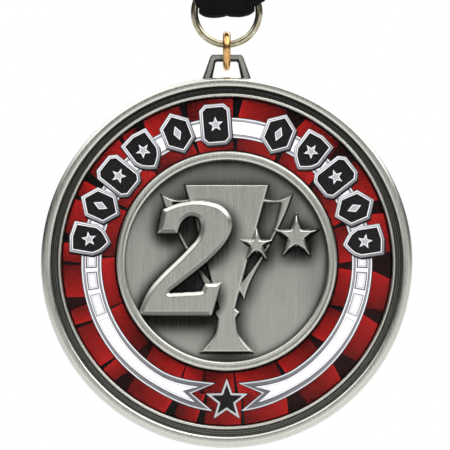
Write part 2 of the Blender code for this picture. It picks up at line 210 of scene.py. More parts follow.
def antique_silver():
    """Plated zinc: brushed and bright on high faces, oxidised in recesses, with painted
    shade.
    """
    shader = Shader("antique_silver", Metallic=1.0)
    # The patina attribute holds the oxide in recesses and painted shade together.
    patina_and_shade = shader.attribute("patina_and_shade")
    streaks = shader.noise((3200.0, 3200.0, 110.0), 4.0, 0.6)
    streaked = shader.range(streaks, 0.3, 0.7, 0.0, 1.0)
    clouded = shader.range(shader.noise((260.0, 260.0, 160.0)), 0.35, 0.7, 0.0, 0.3)
    silver = shader.mix(streaked, (0.475, 0.48, 0.437), (0.55, 0.555, 0.508))
    silver = shader.mix(clouded, silver, (0.42, 0.425, 0.388))
    oxide_and_shade_colour = shader.mix(streaked, (0.009, 0.0095, 0.009), (0.015, 0.016, 0.014))
    dark = shader.math('MULTIPLY', patina_and_shade, shader.range(streaks, 0.2, 0.8, 1.04, 0.96))
    rough = shader.math('ADD', shader.range(streaks, 0.3, 0.7, 0.24, 0.32),
                        shader.math('MULTIPLY', patina_and_shade, 0.2))
    grain = shader.bump(shader.noise(9000.0, 2.0), 0.004 * MM)
    shader.set(Base_Color=shader.mix(shader.range(dark, 0.0, 1.0, 0.0, 1.0), silver,
                                     oxide_and_shade_colour),
               Roughness=rough, Normal=shader.bump(streaks, 0.01 * MM, grain))
    return shader.material


def print_finish(name, dark, light, speckle):
    """Printed ink whose tone follows the mesh's shade attribute."""
    shader = Shader(name, Roughness=0.5, Specular_IOR_Level=0.08)
    grain = shader.noise(6500.0, 3.0, 0.7)
    hatch = shader.noise((900.0, 900.0, 5200.0), 2.0)
    tone = shader.math('ADD', shader.attribute("shade"), shader.math(
        'ADD', shader.range(grain, 0.3, 0.7, -speckle, speckle),
        shader.range(hatch, 0.3, 0.7, -speckle, speckle)))
    shader.set(Base_Color=shader.ramp(tone, (0.0, dark), (1.0, light)))
    return shader.material


def wire_metal(name, dull, bright, roughness):
    """Plated wire with fine drawing marks and a little tarnish."""
    shader = Shader(name, Metallic=1.0)
    marks = shader.noise(2400.0, 4.0, 0.65)
    tarnish = shader.range(shader.noise(420.0), 0.35, 0.7, 0.0, 1.0)
    shader.set(Base_Color=shader.mix(tarnish, bright, dull),
               Roughness=shader.range(marks, 0.3, 0.7, roughness - 0.06,
                                      roughness + 0.08),
               Normal=shader.bump(marks, 0.006 * MM))
    return shader.material


def clear_resin():
    """A clear layer that lets the print through and mirrors light like resin.

    Only its outer side mirrors. Light on its way out isn't bent by this layer, so the
    inner side would mirror all of it at a slant and hide the print.
    """
    shader = Shader("clear_resin")
    shader.tree.nodes.remove(shader.surface)
    fresnel = shader.node("ShaderNodeFresnel", {"IOR": 1.2}).outputs["Fac"]
    inner_side = shader.node("ShaderNodeNewGeometry").outputs["Backfacing"]
    mirrored = shader.math('MULTIPLY', fresnel, shader.math('SUBTRACT', 1.0, inner_side))
    shader.show_mix("Material Output", mirrored,
                    shader.node("ShaderNodeBsdfTransparent"),
                    shader.node("ShaderNodeBsdfGlossy",
                                {"Color": (0.6, 0.6, 0.6), "Roughness": 0.09}))
    return shader.material


RIB_PITCH = 0.48 * MM
WARP_PITCH = 0.30 * MM


def woven_ribbon():
    """Black woven satin: fine cross ribs, warp lines, and a soft sheen."""
    shader = Shader("black_woven_ribbon", Specular_IOR_Level=0.06, Sheen_Weight=0.012,
                    Sheen_Roughness=0.4, Sheen_Tint=(0.8, 0.82, 0.88))
    cloth = shader.node("ShaderNodeUVMap", uv_map="cloth").outputs["UV"]
    split = shader.node("ShaderNodeSeparateXYZ", {"Vector": cloth}).outputs
    ribs, warp = [
        shader.math('SINE', shader.math('MULTIPLY', split[axis], 2 * math.pi / pitch))
        for axis, pitch in (("Y", RIB_PITCH), ("X", WARP_PITCH))]
    threads = shader.noise(5200.0, 3.0, 0.7)
    wear = shader.noise(120.0, 4.0)
    weave = shader.math('ADD', ribs, shader.math('MULTIPLY', warp, 0.35))
    tone = shader.math('ADD', shader.range(weave, -1.3, 1.3, 0.0, 0.45), shader.math(
        'ADD', shader.range(threads, 0.3, 0.7, 0.0, 0.35),
        shader.range(wear, 0.3, 0.7, 0.0, 0.2)))
    shader.set(Base_Color=shader.ramp(tone, (0.0, (0.0005, 0.0005, 0.0006)),
                                      (1.0, (0.0042, 0.0042, 0.0047))),
               Roughness=shader.range(threads, 0.3, 0.7, 0.5, 0.65),
               Normal=shader.bump(threads, 0.04 * MM, shader.bump(weave, 0.05 * MM)))
    return shader.material


def sewing_thread():
    """Twisted black polyester."""
    shader = Shader("black_thread", Roughness=0.5, Sheen_Weight=0.3, Sheen_Roughness=0.4)
    twist = shader.noise((3000.0, 3000.0, 9000.0), 3.0, 0.7)
    shader.set(Base_Color=shader.ramp(twist, (0.3, (0.006, 0.006, 0.007)),
                                      (0.7, (0.035, 0.035, 0.038))),
               Normal=shader.bump(twist, 0.04 * MM))
    return shader.material


def adhesive_film():
    """Cloudy transfer film."""
    shader = Shader("adhesive_film", Roughness=0.55)
    shader.set(Base_Color=shader.ramp(shader.noise(4000.0), (0.3, (0.62, 0.60, 0.54)),
                                      (0.7, (0.76, 0.74, 0.68))))
    return shader.material


# ---- mesh helpers ----

def stand_in(name, mesh, body, node, slot, *materials):
    """Show a mesh in place of a CAD node, moving with the node's body."""
    made = bpy.data.objects.new(name, mesh)
    bpy.context.scene.collection.objects.link(made)
    for item in materials:
        mesh.materials.append(item)
    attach(made, body)
    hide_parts(node)
    return made


def finished(shell, name, smooth_angle=None):
    """A mesh from a bmesh, its faces out, smooth below an angle in degrees."""
    bmesh.ops.recalc_face_normals(shell, faces=shell.faces)
    mesh = bpy.data.meshes.new(name)
    shell.to_mesh(mesh)
    shell.free()
    if smooth_angle is not None:
        mesh.shade_smooth()
        mesh.set_sharp_from_angle(angle=math.radians(smooth_angle))
    return mesh


def rounded_profile(points, pieces=4):
    """Replace each (radius, height, rounding) corner by a short arc."""
    profile = []
    count = len(points)
    for i, (radius, height, rounding) in enumerate(points):
        corner = Vector((radius, height))
        if rounding == 0.0 or i in (0, count - 1):
            profile.append(corner)
            continue
        before = (Vector(points[i - 1][:2]) - corner).normalized() * rounding
        after = (Vector(points[i + 1][:2]) - corner).normalized() * rounding
        for step in range(pieces + 1):
            t = step / pieces
            profile.append(corner + before * (1 - t) ** 2 + after * t ** 2)
    return profile


def bridge(shell, rings, closed=False, slot=0):
    """Faces between each ring of vertices and the next, and back to the first."""
    pairs = list(zip(rings, rings[1:]))
    if closed:
        pairs.append((rings[-1], rings[0]))
    for one, two in pairs:
        for k in range(len(one)):
            after = (k + 1) % len(one)
            corners = dict.fromkeys((one[k], one[after], two[after], two[k]))
            shell.faces.new(list(corners)).material_index = slot


def turn(shell, profile, closed, values=None, layer=None):
    """Turn a (radius, height) profile about the disc's axis."""
    rings = []
    for i, (radius, height) in enumerate(profile):
        if radius == 0.0:
            ring = [shell.verts.new(place(0.0, 0.0, height))] * DISC_SEGMENTS
        else:
            ring = [shell.verts.new(place(
                *polar(radius, 2 * math.pi * k / DISC_SEGMENTS), height))
                for k in range(DISC_SEGMENTS)]
        if layer is not None:
            for vertex in ring:
                vertex[layer] = values[i]
        rings.append(ring)
    bridge(shell, rings, closed)


# ---- outlines of the raised work ----

def catmull_rom(before, start, end, after, share):
    """One point of a smooth curve through start and end."""
    return tuple(
        0.5 * (2 * b + (c - a) * share
               + (2 * a - 5 * b + 4 * c - d) * share ** 2
               + (3 * b - a - 3 * c + d) * share ** 3)
        for a, b, c, d in zip(before, start, end, after))


def smooth_outline(points, steps):
    """A closed outline in metres from (x, y, is_corner) points in millimetres.

    The whole outline is then stretched and lowered to its place on the disc.
    """
    count = len(points)
    outline = []
    for i in range(count):
        start = points[i]
        end = points[(i + 1) % count]
        before = start if start[2] else points[i - 1]
        after = end if end[2] else points[(i + 2) % count]
        pieces = 1 if start[2] and end[2] else steps
        for step in range(pieces):
            x, y = catmull_rom(before[:2], start[:2], end[:2], after[:2], step / pieces)
            outline.append((x * MM, y * MM * RELIEF_STRETCH - RELIEF_DROP))
    return outline


def mirrored(half):
    """A whole outline from its right half, given from the top down."""
    return list(half) + [(-x, *rest) for x, *rest in half[::-1] if x]


def numeral_outline():
    """A bold slanted figure two."""
    return smooth_outline((
        (-13.2, 5.4, True), (-12.2, 10.1, True), (-8.9, 11.3, False),
        (-5.0, 11.7, False), (-1.0, 10.7, False), (1.1, 8.0, False),
        (0.4, 4.6, False), (-3.0, 0.6, False), (-10.6, -5.4, True),
        (-4.9, -5.1, True), (-4.2, -3.6, True), (-0.9, -3.6, True),
        (-2.7, -9.9, True), (-17.0, -9.9, True), (-14.4, -4.4, False),
        (-8.2, 1.9, False), (-5.5, 5.0, False), (-5.2, 7.8, False),
        (-6.8, 8.6, False), (-8.4, 7.4, False), (-9.2, 5.4, True),
    ), 10)


def cup_outline():
    """A tall tapered cup on a flared foot."""
    half = [
        (8.1, 14.8, True), (6.0, 7.4, False), (3.2, -2.6, False), (1.7, -8.3, True),
        (2.6, -9.1, True), (1.8, -10.2, True), (2.5, -13.4, False), (5.2, -16.6, True),
    ]
    return smooth_outline(mirrored(half), 8)


def handle_outline(side):
    """One angular handle, from the cup's shoulder out to a tip and down to the stem."""
    outline = smooth_outline((
        (6.4, 12.3, True), (9.4, 11.9, False), (12.6, 13.1, True),
        (10.8, 8.4, False), (7.4, 1.8, False), (4.6, -3.4, False),
        (3.3, -7.0, True), (1.9, -4.6, True), (5.6, 0.4, False),
        (8.6, 5.9, False), (10.1, 11.2, True), (6.4, 11.2, True),
    ), 8)
    return [(side * x, y) for x, y in outline[::side]]


def star_outline(centre, outer, inner, turned=0.0):
    points = []
    for i in range(10):
        reach = inner if i % 2 else outer
        x, y = polar(reach, turned + i * math.pi / 5)
        points.append((centre[0] + x, centre[1] + y))
    return points


LARGE_STAR = ((13.1 * MM, 4.6 * MM), 4.7 * MM, 1.95 * MM)
SMALL_STAR = ((5.6 * MM, 3.0 * MM), 3.6 * MM, 1.5 * MM)


# ---- the casting ----

def signed_distance(outline, x, z):
    """Distance inside a closed outline, negative outside it."""
    nearest = np.full(x.shape, 1.0)
    inside = np.zeros(x.shape, dtype=bool)
    for (x0, z0), (x1, z1) in zip(outline, outline[1:] + outline[:1]):
        run, rise = x1 - x0, z1 - z0
        along = np.clip(((x - x0) * run + (z - z0) * rise)
                        / max(run * run + rise * rise, 1e-18), 0.0, 1.0)
        nearest = np.minimum(nearest, np.hypot(x - x0 - along * run,
                                               z - z0 - along * rise))
        if z0 != z1:
            crossed = (z0 > z) != (z1 > z)
            inside ^= crossed & (x < x0 + (z - z0) * run / rise)
    return np.where(inside, nearest, -nearest)


def raised(depth, top, drop, bevel):
    """Height of a raised shape: a steep drafted wall, a plane bevel, a flat top."""
    draft = 0.14 * MM
    wall = smoothstep(-0.3 * draft, draft, depth) * (top - drop - FLOOR_HEIGHT)
    slope = np.clip((depth - draft * 0.5) / bevel, 0.0, 1.0)
    return FLOOR_HEIGHT + wall + drop * slope * (depth > 0)


def relief_fields(x, z):
    """Height, and patina with painted shade, over the medal's sunk centre."""
    def depth(*outlines):
        return np.maximum.reduce([signed_distance(outline, x, z) for outline in outlines])

    numeral = depth(numeral_outline())
    height = np.maximum.reduce([
        raised(numeral, NUMERAL_HEIGHT, 0.55 * MM, NUMERAL_BEVEL),
        raised(depth(star_outline(*LARGE_STAR), star_outline(*SMALL_STAR)),
               STAR_HEIGHT, 0.50 * MM, 0.55 * MM),
        raised(depth(cup_outline()), CUP_HEIGHT, 0.26 * MM, 0.32 * MM),
        raised(depth(handle_outline(1), handle_outline(-1)),
               HANDLE_HEIGHT, 0.26 * MM, 0.34 * MM),
    ])
    # A dark line is painted along the top edge of the two's bevel.
    crease = np.exp(-((numeral - NUMERAL_BEVEL - 0.1 * MM) / (0.11 * MM)) ** 2)
    patina_and_shade = relief_patina_and_shade(x, z, height)
    return height, 1.0 - (1.0 - patina_and_shade) * (1.0 - 0.38 * crease)


# How oxide gathers beside walls, with painted shadow where a band is moved right and
# down: its weight, then in millimetres how far it reaches, how far it is moved right and
# down, and the depth that stays clean.
OXIDE_AND_SHADOW_BANDS = ((1.5, 0.25, 0.0, 0.0, 0.0), (4.6, 1.35, 0.3, 0.8, 0.02),
               (1.4, 2.4, 0.6, 1.6, 0.05))


def relief_patina_and_shade(x, z, height):
    """Oxide beside walls, and painted shadows below and right of the raised work."""
    ring = np.where(np.hypot(x, z) > CENTRE_RADIUS, DISC_THICKNESS, FLOOR_HEIGHT)
    # Oxide at the foot of the ring's wall, and painted shade: it fades out on the lit left
    # side.
    ring_wall_oxide_and_shade = np.clip(blurred(ring, 0.60 * MM) - height, 0.0, None)
    ring_wall_oxide_and_shade *= smoothstep(-1.0, -0.55, x / np.maximum(np.hypot(x, z), MM))
    cavity_and_shadow = 1.5 * ring_wall_oxide_and_shade
    # Unmoved bands are oxide; bands moved right and down paint shadow below the raised
    # work.
    for weight, reach, right, down, clean in OXIDE_AND_SHADOW_BANDS:
        moved = np.roll(blurred(height, reach * MM), (int(right * MM / RELIEF_STEP),
                                                      -int(down * MM / RELIEF_STEP)),
                        axis=(0, 1))
        cavity_and_shadow += weight * np.clip(moved - height - clean * MM, 0.0, None)
    # Painted shade: slopes that face down, and steep sides, are darkened.
    across, upward = np.gradient(height, RELIEF_STEP)
    painted_underside_shade = (0.75 * smoothstep(0.15, 0.7, upward)
                 + 0.38 * smoothstep(0.15, 0.7, np.abs(across))
                 * smoothstep(-0.6, 0.0, upward))
    sunk = np.clip((CUP_HEIGHT - height) / (CUP_HEIGHT - FLOOR_HEIGHT), 0.0, 1.0)
    # Even light tarnish on the sunk floor, plus painted shade towards the top and right.
    tarnish = 0.09 * sunk * (1.0 + 6.2 * smoothstep(2.0 * MM, 16.0 * MM, z)
                             + 3.0 * smoothstep(12.0 * MM, 18.0 * MM, x))
    patina_and_shade = 1.0 - (1.0 - tarnish) * np.exp(-cavity_and_shadow / MM) * (1.0 - painted_underside_shade)
    return np.clip(patina_and_shade, 0.0, 1.0)


def blurred(field, reach):
    """A Gaussian blur of a square field by a reach in metres."""
    steps = int(3 * reach / RELIEF_STEP)
    offsets = np.arange(-steps, steps + 1) * RELIEF_STEP
    weights = np.exp(-0.5 * (offsets / reach) ** 2)
    weights /= weights.sum()
    for axis in (0, 1):
        field = np.apply_along_axis(
            lambda line: np.convolve(np.pad(line, steps, mode='edge'), weights,
                                     mode='valid'), axis, field)
    return field


def relief_shell(shell, layer):
    """The medal's centre as one closed piece of relief, let into the disc."""
    reach = CENTRE_RADIUS + RELIEF_STEP
    count = int(2 * reach / RELIEF_STEP) + 1
    line = (np.arange(count) - (count - 1) / 2) * RELIEF_STEP
    x, z = np.meshgrid(line, line, indexing='ij')
    height, patina_and_shade = relief_fields(x, z)
    made = {}
    for i, j in np.argwhere(np.hypot(x, z) <= reach):
        vertex = shell.verts.new(place(x[i, j], z[i, j], height[i, j]))
        vertex[layer] = patina_and_shade[i, j]
        made[i, j] = vertex
    faces = []
    for (i, j), corner in made.items():
        others = [made.get(key) for key in ((i + 1, j), (i + 1, j + 1), (i, j + 1))]
        if all(others):
            faces.append(shell.faces.new((corner, *others)))
    for vertex in [v for v in made.values() if not v.link_faces]:
        shell.verts.remove(vertex)
    edges = {edge for face in faces for edge in face.edges if len(edge.link_faces) == 1}
    walls = bmesh.ops.extrude_edge_only(shell, edges=list(edges))["geom"]
    for item in walls:
        if isinstance(item, bmesh.types.BMVert):
            item.co.y = BACK_Y - CHANNEL_HEIGHT
    bmesh.ops.contextual_create(
        shell, geom=[item for item in walls if isinstance(item, bmesh.types.BMEdge)])


def disc_sections():
    """The disc's half section, as corners of (radius, height, rounding, patina)."""
    top = DISC_THICKNESS
    ridge = GROOVE_HEIGHT + 0.32 * MM
    inner_crown = CENTRE_RADIUS + 0.38 * MM
    outer_crown = CHANNEL_INNER - 0.44 * MM
    bead_crown = (CHANNEL_OUTER + BEAD_OUTER) / 2
    # A radius and the millimetres out from it, a height and the millimetres up from it,
    # the rounding in millimetres, and the patina.
    corners = (
        (0.0, 0.0, 0.0, 1.0, 0.0, 0.6),
        (CENTRE_RADIUS, 0.0, 0.0, 1.0, 0.0, 0.6),
        (CENTRE_RADIUS, 0.0, FLOOR_HEIGHT, 0.1, 0.0, 0.97),
        (CENTRE_RADIUS, 0.0, top, -0.75, 0.0, 0.9),
        (CENTRE_RADIUS, 0.1, top, -0.32, 0.1, 0.35),
        (inner_crown, 0.0, top, 0.0, 0.24, 0.0),
        (inner_crown, 0.35, top, -0.1, 0.15, 0.25),
        (outer_crown, -0.3, top, -0.1, 0.15, 0.25),
        (outer_crown, 0.0, top, 0.0, 0.22, 0.0),
        (CHANNEL_INNER, -0.05, top, -0.38, 0.1, 0.35),
        (CHANNEL_INNER, 0.0, top, -0.75, 0.0, 0.95),
        (CHANNEL_INNER, 0.0, CHANNEL_HEIGHT, 0.0, 0.0, 1.0),
        (CHANNEL_OUTER, 0.0, CHANNEL_HEIGHT, 0.0, 0.0, 1.0),
        (CHANNEL_OUTER, 0.0, BEAD_HEIGHT, -0.55, 0.0, 0.95),
        (CHANNEL_OUTER, 0.1, BEAD_HEIGHT, -0.28, 0.08, 0.3),
        (bead_crown, -0.15, BEAD_HEIGHT, -0.01, 0.13, 0.0),
        (bead_crown, 0.15, BEAD_HEIGHT, -0.01, 0.13, 0.0),
        (BEAD_OUTER, -0.08, BEAD_HEIGHT, -0.28, 0.08, 0.1),
        (BEAD_OUTER, 0.0, GROOVE_HEIGHT, 0.2, 0.0, 0.8),
        (BEAD_OUTER, 0.10, GROOVE_HEIGHT, 0.0, 0.05, 0.95),
        (BEAD_OUTER, 0.42, GROOVE_HEIGHT, 0.0, 0.05, 0.92),
        (BEAD_OUTER, 0.54, ridge, 0.0, 0.06, 0.88),
        (BEAD_OUTER, 0.72, ridge, 0.0, 0.06, 0.88),
        (BEAD_OUTER, 0.84, GROOVE_HEIGHT, 0.0, 0.05, 0.96),
        (RIM_INNER, -0.06, GROOVE_HEIGHT, 0.0, 0.05, 0.97),
        (RIM_INNER, 0.0, top, -0.55, 0.0, 0.65),
        (RIM_INNER, 0.08, top, -0.26, 0.1, 0.12),
        (RIM_INNER, 0.36, top, 0.0, 0.2, 0.0),
        (DISC_RADIUS, -0.62, top, 0.0, 0.35, 0.03),
        (DISC_RADIUS, -0.14, top, -0.75, 0.35, 0.0),
        (DISC_RADIUS, 0.0, 0.0, 0.55, 0.25, 0.22),
        (DISC_RADIUS, -0.35, 0.0, 0.0, 0.2, 0.3),
        (0.0, 0.0, 0.0, 0.0, 0.0, 0.1),
    )
    return [(radius + out * MM, height + up * MM, rounding * MM, patina_and_shade)
            for radius, out, height, up, rounding, patina_and_shade in corners]


def disc_shell(shell, layer):
    """The whole disc but its relief, with its section's patina and painted groove shade.
    """
    sections = disc_sections()
    profile, values = [], []
    for i, section in enumerate(sections):
        own = [section[:2]]
        if section[2]:
            around = rounded_profile([s[:3] for s in sections[i - 1:i + 2]])
            own = [tuple(point) for point in around[1:-1]]
        profile += own
        values += [section[3]] * len(own)
    turn(shell, profile, False, values, layer)
    # Painted shade: the groove is darkest at the disc's top and lighter further down.
    for vertex in shell.verts:
        x, z = vertex.co.x - DISC_X, vertex.co.z - DISC_Z
        radius = math.hypot(x, z)
        if BEAD_OUTER < radius < RIM_INNER:
            vertex[layer] -= GROOVE_SHADE_FADE * (0.5 - 0.5 * z / radius)


def lug_shell(shell, layer):
    """The trapezoid loop on the rim, swept from foot to foot with rounded edges."""
    low, high = LUG_TOP - 5.6 * MM, LUG_TOP
    # The loop's inner and outer edges side by side, from the left foot to the right.
    half = [((-2.95, low), (-4.95, low)),
            ((-2.12, high - 1.45 * MM), (-3.12, high - 0.4 * MM)),
            ((-1.85, high - 1.24 * MM), (-2.8, high))]
    stations = half + [((-inner[0], inner[1]), (-outer[0], outer[1]))
                       for inner, outer in half[::-1]]
    # Across the band: share from the inner edge, half depth in millimetres, patina.
    band = [(0.0, 0.50, 1.0), (0.07, 0.76, 1.0), (0.22, 0.85, 0.97), (0.34, 0.85, 0.30),
            (0.6, 0.85, 0.02), (0.74, 0.85, 0.30), (0.86, 0.85, 0.95), (0.94, 0.76, 0.7),
            (1.0, 0.5, 0.2)]
    loop = band + [(share, -depth, dark) for share, depth, dark in band[::-1]]
    rings = []
    for (inner_x, inner_z), (outer_x, outer_z) in stations:
        ring = []
        for share, depth, dark in loop:
            x = (inner_x + (outer_x - inner_x) * share) * MM
            z = inner_z + (outer_z - inner_z) * share
            vertex = shell.verts.new((DISC_X + x, RING_MIDDLE.y - depth * MM, DISC_Z + z))
            near_rim = float(smoothstep(DISC_RADIUS + 1.4 * MM, DISC_RADIUS, z))
            vertex[layer] = min(1.0, dark + 0.35 * near_rim)
            ring.append(vertex)
        rings.append(ring)
    bridge(shell, rings)
    shell.faces.new(rings[0])
    shell.faces.new(rings[-1][::-1])


def soften_relief(mesh):
    """Smooth shading over the relief, so that its grid doesn't show on slanted lines."""
    centre = np.array(place(0.0, 0.0, 0.0))
    corners = np.empty(len(mesh.vertices) * 3)
    mesh.vertices.foreach_get("co", corners)
    corners = corners.reshape(-1, 3) - centre
    inner = ((np.hypot(corners[:, 0], corners[:, 2]) < CENTRE_RADIUS - RELIEF_STEP)
             & (-corners[:, 1] > FLOOR_HEIGHT - 0.01 * MM))
    edges = np.empty(len(mesh.edges) * 2, dtype=np.int32)
    mesh.edges.foreach_get("vertices", edges)
    edges = edges.reshape(-1, 2)
    sharp = mesh.attributes["sharp_edge"]
    values = np.empty(len(mesh.edges), dtype=bool)
    sharp.data.foreach_get("value", values)
    values &= ~(inner[edges[:, 0]] & inner[edges[:, 1]])
    sharp.data.foreach_set("value", values)


def make_casting():
    shell = bmesh.new()
    layer = shell.verts.layers.float.new("patina_and_shade")
    disc_shell(shell, layer)
    lug_shell(shell, layer)
    relief_shell(shell, layer)
    mesh = finished(shell, "medal_casting", 40.0)
    soften_relief(mesh)
    stand_in("medal_casting", mesh, "medal", "medal_body", "medal_metal",
             antique_silver())


# ---- the printed ring ----
LAYER = 0.014 * MM           # one printed layer stands this far over the last
PRINT_STRETCH = 1.008        # the banner and badges are printed this much taller
PRINT_DROP = 0.3 * MM        # and this far below the channel's middle
BLACK, RED, WHITE, GREY = range(4)
BANNER_STEPS = 150


def rule_of(shade):
    """The rule itself, or one that gives the same number everywhere."""
    return shade if callable(shade) else (lambda *spot: shade)


class Artwork:
    """Thin closed plates of ink, one mesh with a slot for each ink."""

    def __init__(self):
        self.shell = bmesh.new()
        self.shade = self.shell.verts.layers.float.new("shade")
        self.stretch, self.drop = 1.0, 0.0

    def seated(self, x, z, height):
        return self.shell.verts.new(place(x, z * self.stretch - self.drop, height))

    def add_plate(self, outline, level, slot, shade=0.5):
        """A plate from one closed outline. shade is a number or a rule of (x, z)."""
        rule = rule_of(shade)
        triangles = tessellate_polygon([[Vector((x, z, 0.0)) for x, z in outline]])
        high = PRINT_HEIGHT + level * LAYER
        rims = []
        for height in (high, high - 0.7 * LAYER):
            rim = [self.seated(x, z, height) for x, z in outline]
            for vertex, (x, z) in zip(rim, outline):
                vertex[self.shade] = rule(x, z)
            rims.append(rim)
            for triangle in triangles:
                self.shell.faces.new([rim[k] for k in triangle]).material_index = slot
        bridge(self.shell, rims, slot=slot)

    def add_strip(self, rails, level, slot, shade):
        """A plate between rails of equal length. shade is a number or a rule of k."""
        rule = rule_of(shade)
        high = PRINT_HEIGHT + level * LAYER
        sheets = []
        for height in (high, high - 0.7 * LAYER):
            sheet = []
            for rail in rails:
                line = [self.seated(x, z, height) for x, z in rail]
                for k, vertex in enumerate(line):
                    vertex[self.shade] = rule(k)
                sheet.append(line)
            for one, two in zip(sheet, sheet[1:]):
                for k in range(len(one) - 1):
                    face = self.shell.faces.new((one[k], one[k + 1],
                                                 two[k + 1], two[k]))
                    face.material_index = slot
            sheets.append(sheet)
        rims = []
        for sheet in sheets:
            ends = [line[-1] for line in sheet[1:-1]]
            starts = [line[0] for line in sheet[1:-1]]
            rims.append(sheet[0] + ends + sheet[-1][::-1] + starts[::-1])
        bridge(self.shell, rims, slot=slot)


def arc(radius, start, end, count, lean=0.0):
    """Points along an arc between two angles in degrees."""
    points = []
    for k in range(count + 1):
        angle = start + (end - start) * k / count
        points.append(polar(radius, math.radians(angle + lean)))
    return points


def offset_outline(outline, distance):
    """Move a closed clockwise outline in by a distance, with sharp corners."""
    count = len(outline)
    moved = []
    for i in range(count):
        corner = Vector(outline[i])
        arriving = (corner - Vector(outline[i - 1])).normalized()
        leaving = (Vector(outline[(i + 1) % count]) - corner).normalized()
        normal_in = Vector((arriving.y, -arriving.x))
        normal_out = Vector((leaving.y, -leaving.x))
        middle = (normal_in + normal_out).normalized()
        reach = distance / max(middle.dot(normal_in), 0.3)
        moved.append(tuple(corner + middle * reach))
    return moved


def add_tiles(art):
    """Two rings of red tiles, parted by dark gaps of uneven width."""
    inner = CHANNEL_INNER + 0.31 * MM
    outer = CHANNEL_OUTER - 0.25 * MM
    middle = 25.4 * MM
    parting = 0.01 * MM         # keeps the two rings of tiles from touching
    # Each gap is its middle angle clockwise from the top and its width, in degrees.
    outer_gaps = ((3.5, 3), (25, 6), (47.5, 7), (70, 4), (91, 8), (110, 4), (131.5, 7),
                  (154, 6), (174, 1.2), (189, 2.4), (200, 3), (220, 4.5), (229, 1.2),
                  (246, 1.2), (254.5, 4), (269, 1.2), (278, 3), (293, 1.4), (301, 3),
                  (319, 1.4), (327, 3), (344, 2.4))
    inner_gaps = ((4, 3), (26, 4), (48, 5), (72, 3), (92, 5), (113, 3), (132, 5),
                  (153.5, 2.5), (176, 1.5), (191, 1.2), (201, 1.2), (222, 6), (248, 1.4),
                  (272, 1.4), (297, 3), (321, 1.4), (345, 2.5))
    for gaps, low, high, drift in ((outer_gaps, middle + parting, outer, 0.8),
                                   (inner_gaps, inner, middle - parting, -0.8)):
        for i, (at, width) in enumerate(gaps):
            after, next_width = gaps[(i + 1) % len(gaps)]
            if i == len(gaps) - 1:
                after += 360
            count = max(3, int((after - at) / 1.5))
            base = random.uniform(0.36, 0.68)
            swing = random.choice((-0.50, 0.50))

            def shade(k, base=base, swing=swing, count=count):
                share = k / count
                edge = 0.26 * math.exp(-((1.0 - share) if swing > 0 else share) * 14)
                return base + swing * (share - 0.5) + edge

            rails, shadow = [], []
            for share in (0.0, 0.5, 1.0):
                # A gap is narrow at its inner end and wide at its outer end.
                radius = low + (high - low) * share
                open_by = 0.22 + 0.38 * share
                rails.append(arc(radius, at + width * open_by,
                                 after - next_width * open_by, count,
                                 drift * (share - 0.5)))
                dark_by = 0.96 * width * open_by
                shadow.append(arc(radius, at - dark_by, at + dark_by, 3))
            art.add_strip(rails, 1, RED, shade)
            # The deep shade in the gap beside a wide tile's end.
            if width >= 4:
                art.add_strip(shadow, 1, RED, random.uniform(-0.25, -0.05))


def banner_rails(inset, start=None, side=1, widen=0.0):
    """Inner, middle and outer rails of the banner, or of one tail from an angle on.

    The inset grows by widen towards the tails' tips.
    """
    tip = 174.4 - 7.3 * (inset + widen) / MM
    notch = 164.7 - 3.8 * (inset + widen) / MM
    count = BANNER_STEPS if start is None else 40
    rails = []
    for kind, end in (("inner", tip), ("middle", notch), ("outer", tip)):
        begin = -end if start is None else start
        rail = []
        for k in range(count + 1):
            angle = begin + (end - begin) * k / count
            flare = float(smoothstep(148.0, 174.0, abs(angle)))
            local = inset + widen * float(smoothstep(100.0, 165.0, abs(angle)))
            low = 23.6 * MM - 1.0 * MM * flare + local
            high = 27.3 * MM + 0.5 * MM * flare - local
            radius = {"inner": low, "middle": (low + high) / 2, "outer": high}[kind]
            rail.append(polar(radius, side * math.radians(angle)))
        rails.append(rail)
    return rails


def add_banner(art):
    """A white banner with a silver double edge, small windows and long tail panels."""
    def tail(k):
        return abs(2 * k / BANNER_STEPS - 1)

    for level, (inset, widen, slot, shade) in enumerate((
            (-0.16, 0.0, BLACK, 0.15),
            (0.0, 0.0, GREY, lambda k: 0.85 - 0.25 * tail(k) ** 6),
            (0.24, 0.0, GREY, lambda k: 0.34 - 0.24 * tail(k) ** 2),
            (0.54, 0.30, GREY, 0.06),
            (0.66, 0.34, WHITE, 0.8)), 2):
        art.add_strip(banner_rails(inset * MM, widen=widen * MM), level, slot, shade)
    for side in (-1, 1):
        for start, end, frame_tone in ((86.6, 92.2, 0.06), (93.8, 101.4, 0.12),
                                       (103.2, 112.6, 0.34)):
            for low, high, turn_in, level, slot, tone in (
                    (24.42, 26.48, 0.0, 7, GREY, frame_tone),
                    (24.66, 26.24, 0.52, 8, WHITE, 0.45),
                    (24.84, 26.06, 0.92, 9, GREY, 0.30 + frame_tone),
                    (24.93, 25.97, 1.12, 10, WHITE, 0.6)):
                rails = [arc(radius * MM, side * (start + turn_in),
                             side * (end - turn_in), 6) for radius in (low, high)]
                art.add_strip(rails, level, slot, tone)
        for inset, start, level, slot, tone in ((0.88, 114.4, 7, GREY, 0.36),
                                                (0.98, 114.7, 8, WHITE, 0.9)):
            rails = banner_rails(inset * MM, start, side, widen=0.34 * MM)
            art.add_strip(rails, level, slot, tone)


